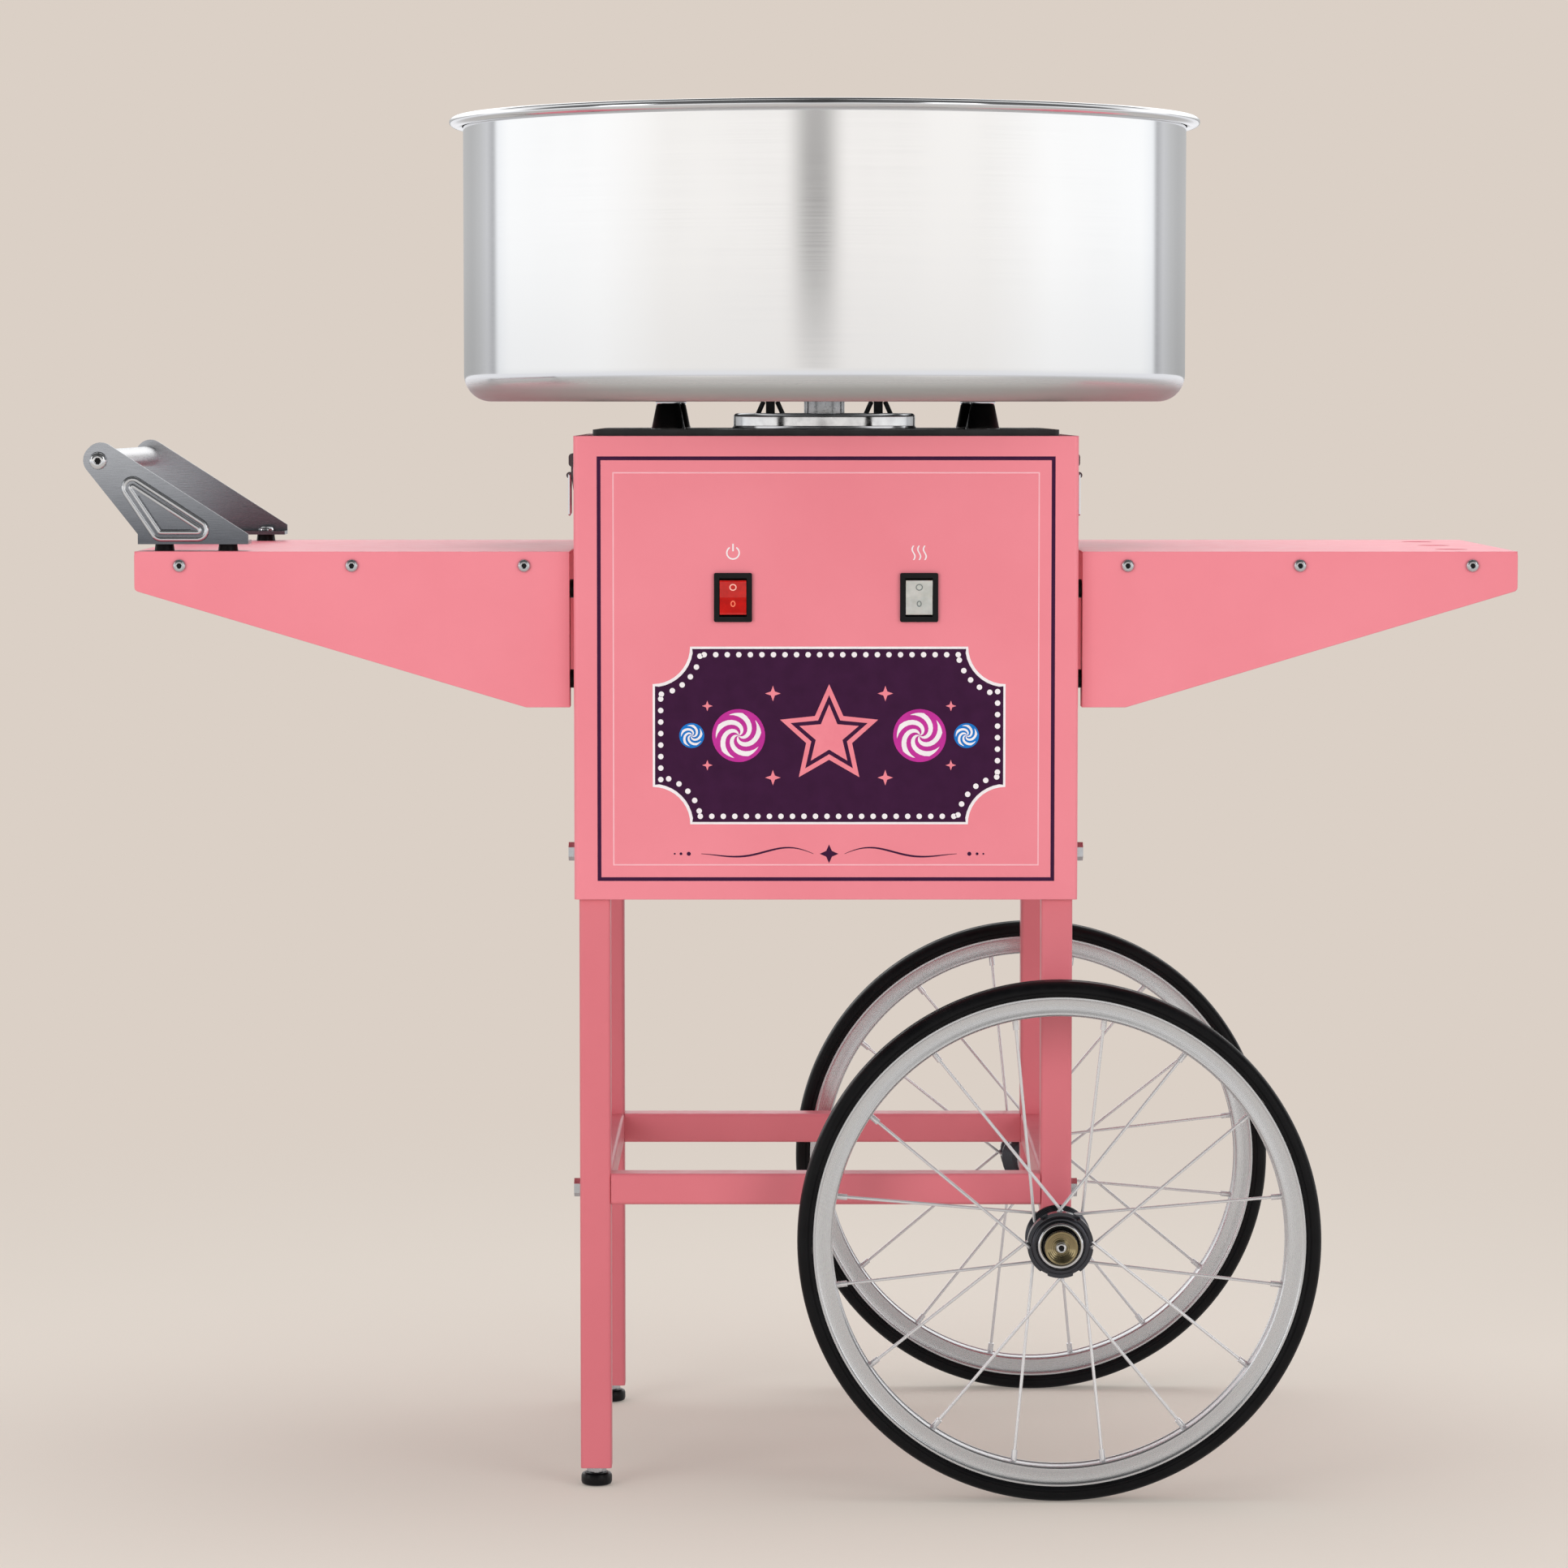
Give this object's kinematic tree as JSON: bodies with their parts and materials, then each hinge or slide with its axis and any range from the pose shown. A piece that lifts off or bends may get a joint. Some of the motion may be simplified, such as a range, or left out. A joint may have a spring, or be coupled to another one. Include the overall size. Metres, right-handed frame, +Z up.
{
  "type": "cotton candy machine cart",
  "caption": "Electric candy floss machine on a pink two wheeled push cart: spinning head in a steel bowl, sheet metal cabinet, side shelves and push handle.",
  "frame": {"origin": "centre of the whole cart's footprint, on the ground", "axes": "+Z up, the front with the switches faces -Y, the push handle is at -X and the wheels at +X"},
  "size_m": [0.9207, 0.5, 0.889],
  "materials": {
    "pink_powder_coat": "satin powder coat",
    "galvanised_sheet": "galvanised",
    "black_deck": "satin black",
    "stainless_bowl": "fine brushed",
    "chrome": "polished",
    "turned_aluminium": "satin turned",
    "band_steel": "satin",
    "zinc_steel": "zinc plated",
    "spoke_steel": "bright drawn",
    "hub_brass": "turned",
    "pressed_steel": "brushed",
    "grip_aluminium": "satin anodised",
    "motor_black": "satin",
    "black_rubber": "moulded",
    "tyre": "smooth",
    "black_plastic": "moulded",
    "red_plastic": "glossy translucent red",
    "grey_plastic": "glossy pale grey"
  },
  "bodies": {
    "cart": {"axle": "zinc_steel", "bowl_posts": "black_rubber", "brush_holders": "black_plastic", "cabinet_shell": "pink_powder_coat", "dome_cover": "chrome", "floor_plate": "galvanised_sheet", "handle_brackets": "pressed_steel", "handle_grip": "grip_aluminium", "handle_pads": "black_rubber", "handle_screws": "zinc_steel", "hex_bolts": "zinc_steel", "hub_spacers": "zinc_steel", "latch_bases": "chrome", "left_aprons": "pink_powder_coat", "left_shelf_top": "pink_powder_coat", "leg_front_left": "pink_powder_coat", "leg_front_right": "pink_powder_coat", "leg_rear_left": "pink_powder_coat", "leg_rear_right": "pink_powder_coat", "motor": "motor_black", "motor_bracket": "galvanised_sheet", "mount_spacers": "black_rubber", "panel_screws": "zinc_steel", "power_inlet": "black_plastic", "rail_front": "pink_powder_coat", "rail_left": "pink_powder_coat", "rail_rear": "pink_powder_coat", "rail_right": "pink_powder_coat", "rear_cover": "pink_powder_coat", "right_aprons": "pink_powder_coat", "right_shelf_top": "pink_powder_coat", "switch_frames": "black_plastic", "top_plate": "black_deck", "tube_plugs": "black_plastic"},
    "front_wheel": {"front_tyre": "tyre", "front_rim": "turned_aluminium", "front_spokes": "spoke_steel", "front_hub": "chrome", "front_hub_cap": "hub_brass"},
    "rear_wheel": {"rear_tyre": "tyre", "rear_rim": "turned_aluminium", "rear_spokes": "spoke_steel", "rear_hub": "chrome", "rear_hub_cap": "hub_brass"},
    "floss_head": {"drive_shaft": "zinc_steel", "slip_rings": "turned_aluminium", "head_base": "turned_aluminium", "head_band": "band_steel", "head_cover": "turned_aluminium", "heater_ribbon": "band_steel", "head_nut": "zinc_steel"},
    "bowl": {"bowl": "stainless_bowl"},
    "power_rocker": {"power_rocker": "red_plastic"},
    "heat_rocker": {"heat_rocker": "grey_plastic"},
    "left_lever": {"left_latch_lever": "chrome"},
    "left_bail": {"left_latch_bail": "zinc_steel"},
    "right_lever": {"right_latch_lever": "chrome"},
    "right_bail": {"right_latch_bail": "zinc_steel"},
    "front_foot": {"foot_front": "black_plastic"},
    "rear_foot": {"foot_rear": "black_plastic"}
  },
  "joints": [
    {"name": "front_wheel_spin", "type": "hinge", "parent": "cart", "child": "front_wheel", "pos_m": [0.1655, -0.197, 0.167], "axis": [0, 1, 0], "continuous": true},
    {"name": "front_foot_turn", "type": "hinge", "parent": "cart", "child": "front_foot", "pos_m": [-0.1315, -0.147, 0], "axis": [0, 0, 1], "continuous": true},
    {"name": "rear_wheel_spin", "type": "hinge", "parent": "cart", "child": "rear_wheel", "pos_m": [0.1655, 0.197, 0.167], "axis": [0, 1, 0], "continuous": true},
    {"name": "rear_foot_turn", "type": "hinge", "parent": "cart", "child": "rear_foot", "pos_m": [-0.1315, 0.147, 0], "axis": [0, 0, 1], "continuous": true},
    {"name": "head_spin", "type": "hinge", "parent": "cart", "child": "floss_head", "pos_m": [0.017, 0, 0.738], "axis": [0, 0, 1], "continuous": true},
    {"name": "bowl_lift", "type": "slide", "parent": "cart", "child": "bowl", "axis": [0, 0, 1], "range_m": [0, 0.25]},
    {"name": "power_rocker_tip", "type": "hinge", "parent": "cart", "child": "power_rocker", "pos_m": [-0.0425, -0.1565, 0.576], "axis": [-1, 0, 0], "range_deg": [0, 10]},
    {"name": "heat_rocker_tip", "type": "hinge", "parent": "cart", "child": "heat_rocker", "pos_m": [0.0765, -0.1565, 0.576], "axis": [-1, 0, 0], "range_deg": [0, 10]},
    {"name": "left_lever_swing", "type": "hinge", "parent": "cart", "child": "left_lever", "pos_m": [-0.149, 0, 0.662], "axis": [0, 1, 0], "range_deg": [0, 95]},
    {"name": "left_bail_swing", "type": "hinge", "parent": "left_lever", "child": "left_bail", "pos_m": [-0.1529, 0, 0.652], "axis": [0, 1, 0], "range_deg": [0, 130]},
    {"name": "right_lever_swing", "type": "hinge", "parent": "cart", "child": "right_lever", "pos_m": [0.183, 0, 0.662], "axis": [0, -1, 0], "range_deg": [0, 95]},
    {"name": "right_bail_swing", "type": "hinge", "parent": "right_lever", "child": "right_bail", "pos_m": [0.1869, 0, 0.652], "axis": [0, -1, 0], "range_deg": [0, 130]}
  ]
}
